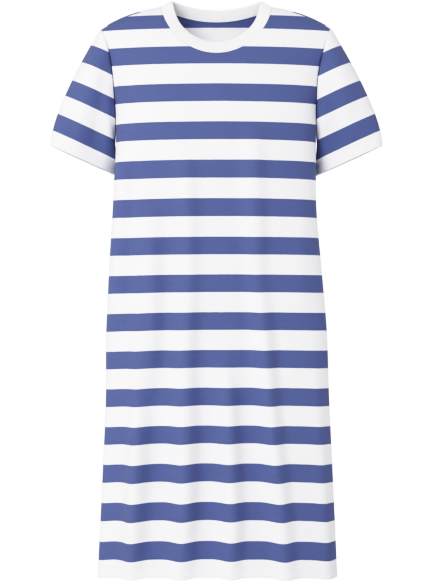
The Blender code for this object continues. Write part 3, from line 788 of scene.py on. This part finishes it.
def wale_tree():
    """Geometry nodes that raise the rib's wales: a wave along the strip, as deep as the rib."""
    tree = bpy.data.node_groups.new("rib_wales", "GeometryNodeTree")
    face = tree.interface
    face.new_socket("Geometry", in_out="INPUT", socket_type="NodeSocketGeometry")
    for name, value in (("Pitch", RIB_PITCH), ("Depth", RIB_DEPTH)):
        face.new_socket(name, in_out="INPUT", socket_type="NodeSocketFloat").default_value = value
    face.new_socket("Material", in_out="INPUT", socket_type="NodeSocketMaterial")
    face.new_socket("Geometry", in_out="OUTPUT", socket_type="NodeSocketGeometry")
    given = add_node(tree, "NodeGroupInput")
    place = add_node(tree, "GeometryNodeInputNamedAttribute", [("Name", "around")], data_type="FLOAT")
    maths = "ShaderNodeMath"
    wales_along = add_node(tree, maths, [(0, place), (1, given.outputs["Pitch"])], operation="DIVIDE")
    turns = add_node(tree, maths, [(0, wales_along), (1, 2 * math.pi)], operation="MULTIPLY")
    wave = add_node(tree, maths, [(0, turns)], operation="COSINE")
    push = add_node(tree, maths, [(0, wave), (1, given.outputs["Depth"])], operation="MULTIPLY")
    normal = add_node(tree, "GeometryNodeInputNormal")
    offset = add_node(tree, "ShaderNodeVectorMath", [(0, normal), (3, push)], operation="SCALE")
    moved = add_node(
        tree, "GeometryNodeSetPosition", [("Geometry", given.outputs["Geometry"]), ("Offset", offset)]
    )
    real = add_node(tree, "GeometryNodeRealizeInstances", [(0, moved)])
    dyed = add_node(tree, "GeometryNodeSetMaterial", [(0, real), ("Material", given.outputs["Material"])])
    add_node(tree, "NodeGroupOutput", [(0, dyed)])
    return tree


def set_inputs(modifier, **values):
    """Sets a geometry nodes modifier's inputs by their sockets' identifiers."""
    for item in modifier.node_group.interface.items_tree:
        if item.in_out == "INPUT" and item.name in values:
            modifier[item.identifier] = values[item.name]


def made_real(piece):
    """The piece's evaluated mesh as its own, with its modifiers removed."""
    evaluated = piece.evaluated_get(bpy.context.evaluated_depsgraph_get())
    mesh = bpy.data.meshes.new_from_object(evaluated)
    piece.modifiers.clear()
    piece.data = mesh
    return piece


rib_material = rib_knit()
rib = cloth_piece("neck_rib_cloth", rows, rib_cloth, True, rib_material)
rib.modifiers.clear()
rib.data.attributes.new("around", "FLOAT", "POINT").data.foreach_set("value", np.tile(around, len(rows)))
wave = rib.modifiers.new("wales", "NODES")
wave.node_group = wale_tree()
set_inputs(wave, Pitch=ring_length / wales, Depth=RIB_DEPTH, Material=rib_material)
made_real(rib)
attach(rib, "root")
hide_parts("neck_rib")

# Twin-needle stitches in white cotton thread hold the hem and the cuffs: two rows 4 mm apart outside.
STITCH_LENGTH = 0.0026
STITCH_GAP = 0.0007
THREAD_RADIUS = 0.00022
# Spun and twisted cotton thread is a little smoother than the cloth, and its twist makes the white uneven.
THREAD_WHITE = "E4E3E2"


def stitch_tree():
    """Geometry nodes that lay one short thread after another along a line."""
    tree = bpy.data.node_groups.new("needle_stitches", "GeometryNodeTree")
    face = tree.interface
    face.new_socket("Geometry", in_out="INPUT", socket_type="NodeSocketGeometry")
    for name, value in (("Stitch", STITCH_LENGTH), ("Gap", STITCH_GAP), ("Thread radius", THREAD_RADIUS)):
        face.new_socket(name, in_out="INPUT", socket_type="NodeSocketFloat").default_value = value
    face.new_socket("Material", in_out="INPUT", socket_type="NodeSocketMaterial")
    face.new_socket("Geometry", in_out="OUTPUT", socket_type="NodeSocketGeometry")
    given = add_node(tree, "NodeGroupInput")
    maths = "ShaderNodeMath"
    line = add_node(tree, "GeometryNodeMeshToCurve", [(0, given.outputs["Geometry"])])
    lengths = given.outputs["Stitch"], given.outputs["Gap"]
    pitch = add_node(tree, maths, [(0, lengths[0]), (1, lengths[1])], operation="ADD")
    spots = add_node(
        tree, "GeometryNodeCurveToPoints", [("Curve", line), ("Length", pitch)], mode="LENGTH"
    )
    thread = add_node(
        tree, "GeometryNodeMeshUVSphere", [("Segments", 6), ("Rings", 4), ("Radius", 1.0)]
    )
    half = add_node(tree, maths, [(0, given.outputs["Stitch"]), (1, 0.5)], operation="MULTIPLY")
    radius = given.outputs["Thread radius"]
    size = add_node(tree, "ShaderNodeCombineXYZ", [(0, radius), (1, radius), (2, half)])
    laid = add_node(
        tree,
        "GeometryNodeInstanceOnPoints",
        [
            ("Points", spots.outputs["Points"]),
            ("Instance", thread.outputs["Mesh"]),
            ("Rotation", spots.outputs["Rotation"]),
            ("Scale", size),
        ],
    )
    real = add_node(tree, "GeometryNodeRealizeInstances", [(0, laid)])
    dyed = add_node(tree, "GeometryNodeSetMaterial", [(0, real), ("Material", given.outputs["Material"])])
    add_node(tree, "NodeGroupOutput", [(0, dyed)])
    return tree


def cotton_thread():
    material = bpy.data.materials.new("spun_cotton_thread")
    material.use_nodes = True
    tree = material.node_tree
    shader = tree.nodes["Principled BSDF"]
    place = add_node(tree, "ShaderNodeTexCoord")
    twist = add_node(tree, "ShaderNodeTexNoise", [("Vector", place.outputs["Object"]), ("Scale", 900.0)])
    shade = add_node(tree, "ShaderNodeMapRange", [(0, twist), (3, 0.93), (4, 1.03)])
    white = linear(THREAD_WHITE)[:3]
    coloured = add_node(tree, "ShaderNodeVectorMath", [(0, white), (3, shade)], operation="SCALE")
    tree.links.new(coloured.outputs[0], shader.inputs["Base Color"])
    shader.inputs["Roughness"].default_value = 0.7
    return material


hem_rows = [np.abs(skirt_heights() - HEM_HEIGHT - row).argmin() for row in HEM_STITCH_ROWS]
hem_paths = {side: [panel_points[side][row] for row in hem_rows] for side in panel_points}
thread = cotton_thread()
stitches = stitch_tree()


def sewn_rows(name, paths, closed):
    """Rows of stitches along lines of points, as one piece. The lines of a cuff are closed rings."""
    verts, edges = [], []
    for path in paths:
        start, count = len(verts), len(path)
        verts += path.tolist()
        edges += [(start + k, start + (k + 1) % count) for k in range(count if closed else count - 1)]
    mesh = bpy.data.meshes.new(name)
    mesh.from_pydata(verts, edges, [])
    piece = bpy.data.objects.new(name, mesh)
    bpy.context.scene.collection.objects.link(piece)
    sewn = piece.modifiers.new("stitches", "NODES")
    sewn.node_group = stitches
    set_inputs(sewn, Stitch=STITCH_LENGTH, Gap=STITCH_GAP, Material=thread)
    made_real(piece)
    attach(piece, "root")
    return piece


for side, area in (("front", 0.494), ("back", 0.511)):
    hem = sewn_rows(side + "_hem_stitches", hem_paths[side], False)
for piece, (name, paths) in zip(sleeve_pieces, cuff_paths.items()):
    cuff = sewn_rows(name + "_cuff_stitches", paths, True)

# The studio: a pale matt floor far below the hem. It is lit by a white tent all round and a large soft lamp
# from the upper left.
FLOOR_HEIGHT = -1.40
FLOOR_HALF_WIDTH = 2.2
FLOOR_COLOUR = "ECECEC"  # rolled matt paint: one even shade, no reflection
# The tent is full white at eye level, so that it makes a white ground, and TENT_STRENGTH above and below.
# Its levels go by how far a direction points up or sideways. The side walls are brighter, and show the
# dress's edges against the ground.
BAND_EDGE = 0.17
BAND_END = 0.30
TENT_STRENGTH = 0.27
WALL_EDGE = 0.75
LEFT_WALL = 0.90
RIGHT_WALL = 1.80
# Real jersey is thin and lets light through to its inside. A faint lamp behind the chest stands in for it.
LAMPS = (
    # name, place, aim, size, spread in degrees, power
    ("large_soft_lamp", (-2.9, -5.2, 2.0), (0.0, 0.0, -0.45), 3.0, 180.0, 223.0),
    ("light_through_the_cloth", (0.0, -0.025, -0.17), (0.0, 0.07, -0.03), 0.13, 180.0, 0.075),
)

floor_corners = [(-1, -1), (1, -1), (1, 1), (-1, 1)]
floor_mesh = bpy.data.meshes.new("floor")
floor_mesh.from_pydata(
    [(x * FLOOR_HALF_WIDTH, y * FLOOR_HALF_WIDTH, FLOOR_HEIGHT) for x, y in floor_corners],
    [],
    [(0, 1, 2, 3)],
)
floor = bpy.data.objects.new("floor", floor_mesh)
bpy.context.scene.collection.objects.link(floor)
paint = bpy.data.materials.new("matt_floor_paint")
paint.use_nodes = True
paint_shader = paint.node_tree.nodes["Principled BSDF"]
paint_shader.inputs["Base Color"].default_value = linear(FLOOR_COLOUR)
paint_shader.inputs["Roughness"].default_value = 0.9
floor_mesh.materials.append(paint)

tent = bpy.data.worlds.new("light_tent")
tent.use_nodes = True
tree = tent.node_tree
backdrop = tree.nodes["Background"]
backdrop.inputs["Color"].default_value = (1.0, 1.0, 1.0, 1.0)
direction = add_node(tree, "ShaderNodeTexCoord")
axes = add_node(tree, "ShaderNodeSeparateXYZ", [(0, direction.outputs["Generated"])])
sideways, upwards = axes.outputs[0], axes.outputs[2]
tilt = add_node(tree, "ShaderNodeMath", [(0, upwards)], operation="ABSOLUTE")
band = [(0, tilt), (1, BAND_EDGE), (2, BAND_END), (3, 1.0), (4, 0.0)]
left = [(0, sideways), (1, -1.0), (2, -WALL_EDGE), (3, LEFT_WALL), (4, TENT_STRENGTH)]
right = [(0, sideways), (1, WALL_EDGE), (2, 1.0), (3, 0.0), (4, RIGHT_WALL - TENT_STRENGTH)]
level, left_wall, right_wall = (add_node(tree, "ShaderNodeMapRange", links) for links in (band, left, right))
sides = add_node(tree, "ShaderNodeMath", [(0, left_wall), (1, right_wall)], operation="ADD")
brighter = add_node(tree, "ShaderNodeMath", [(0, level), (1, sides)], operation="MAXIMUM")
tree.links.new(brighter.outputs[0], backdrop.inputs["Strength"])
bpy.context.scene.world = tent

for name, place, aim, size, spread, power in LAMPS:
    lamp_data = bpy.data.lights.new(name, "AREA")
    lamp_data.shape = "DISK"
    lamp_data.size = size
    lamp_data.spread = math.radians(spread)
    lamp_data.energy = power
    lamp = bpy.data.objects.new(name, lamp_data)
    lamp.location = place
    lamp.visible_camera = False
    lamp.rotation_euler = (Vector(aim) - lamp.location).to_track_quat("-Z", "Y").to_euler()
    bpy.context.scene.collection.objects.link(lamp)

# The camera stands straight in front, at the height of the dress's middle.
VIEW_CENTRE = (0.0028, -0.5278)
CAMERA_DISTANCE = 4.2
FRAME_HEIGHT = 1.07485

camera_data = bpy.data.cameras.new("camera")
camera_data.lens = camera_data.sensor_width * CAMERA_DISTANCE / FRAME_HEIGHT
camera = bpy.data.objects.new("camera", camera_data)
camera.location = (VIEW_CENTRE[0], -CAMERA_DISTANCE, VIEW_CENTRE[1])
camera.rotation_euler = (math.pi / 2, 0.0, 0.0)
bpy.context.scene.collection.objects.link(camera)
bpy.context.scene.camera = camera

# The photo's tones: bright cloth is held just under white, and the blue's shadows are deepened.
TONES = (
    # the light on the film, and how it is shown
    (0.05, 0.024),
    (0.10, 0.066),
    (0.15, 0.134),
    (0.20, 0.214),
    (0.30, 0.370),
    (0.40, 0.530),
    (0.50, 0.680),
    (0.60, 0.800),
    (0.70, 0.875),
    (0.80, 0.925),
    (0.90, 0.965),
)
shown = bpy.context.scene.view_settings
shown.view_transform = "Standard"
shown.use_curve_mapping = True
for place, tone in TONES:
    shown.curve_mapping.curves[3].points.new(place, tone)
shown.curve_mapping.update()

bpy.context.view_layer.update()
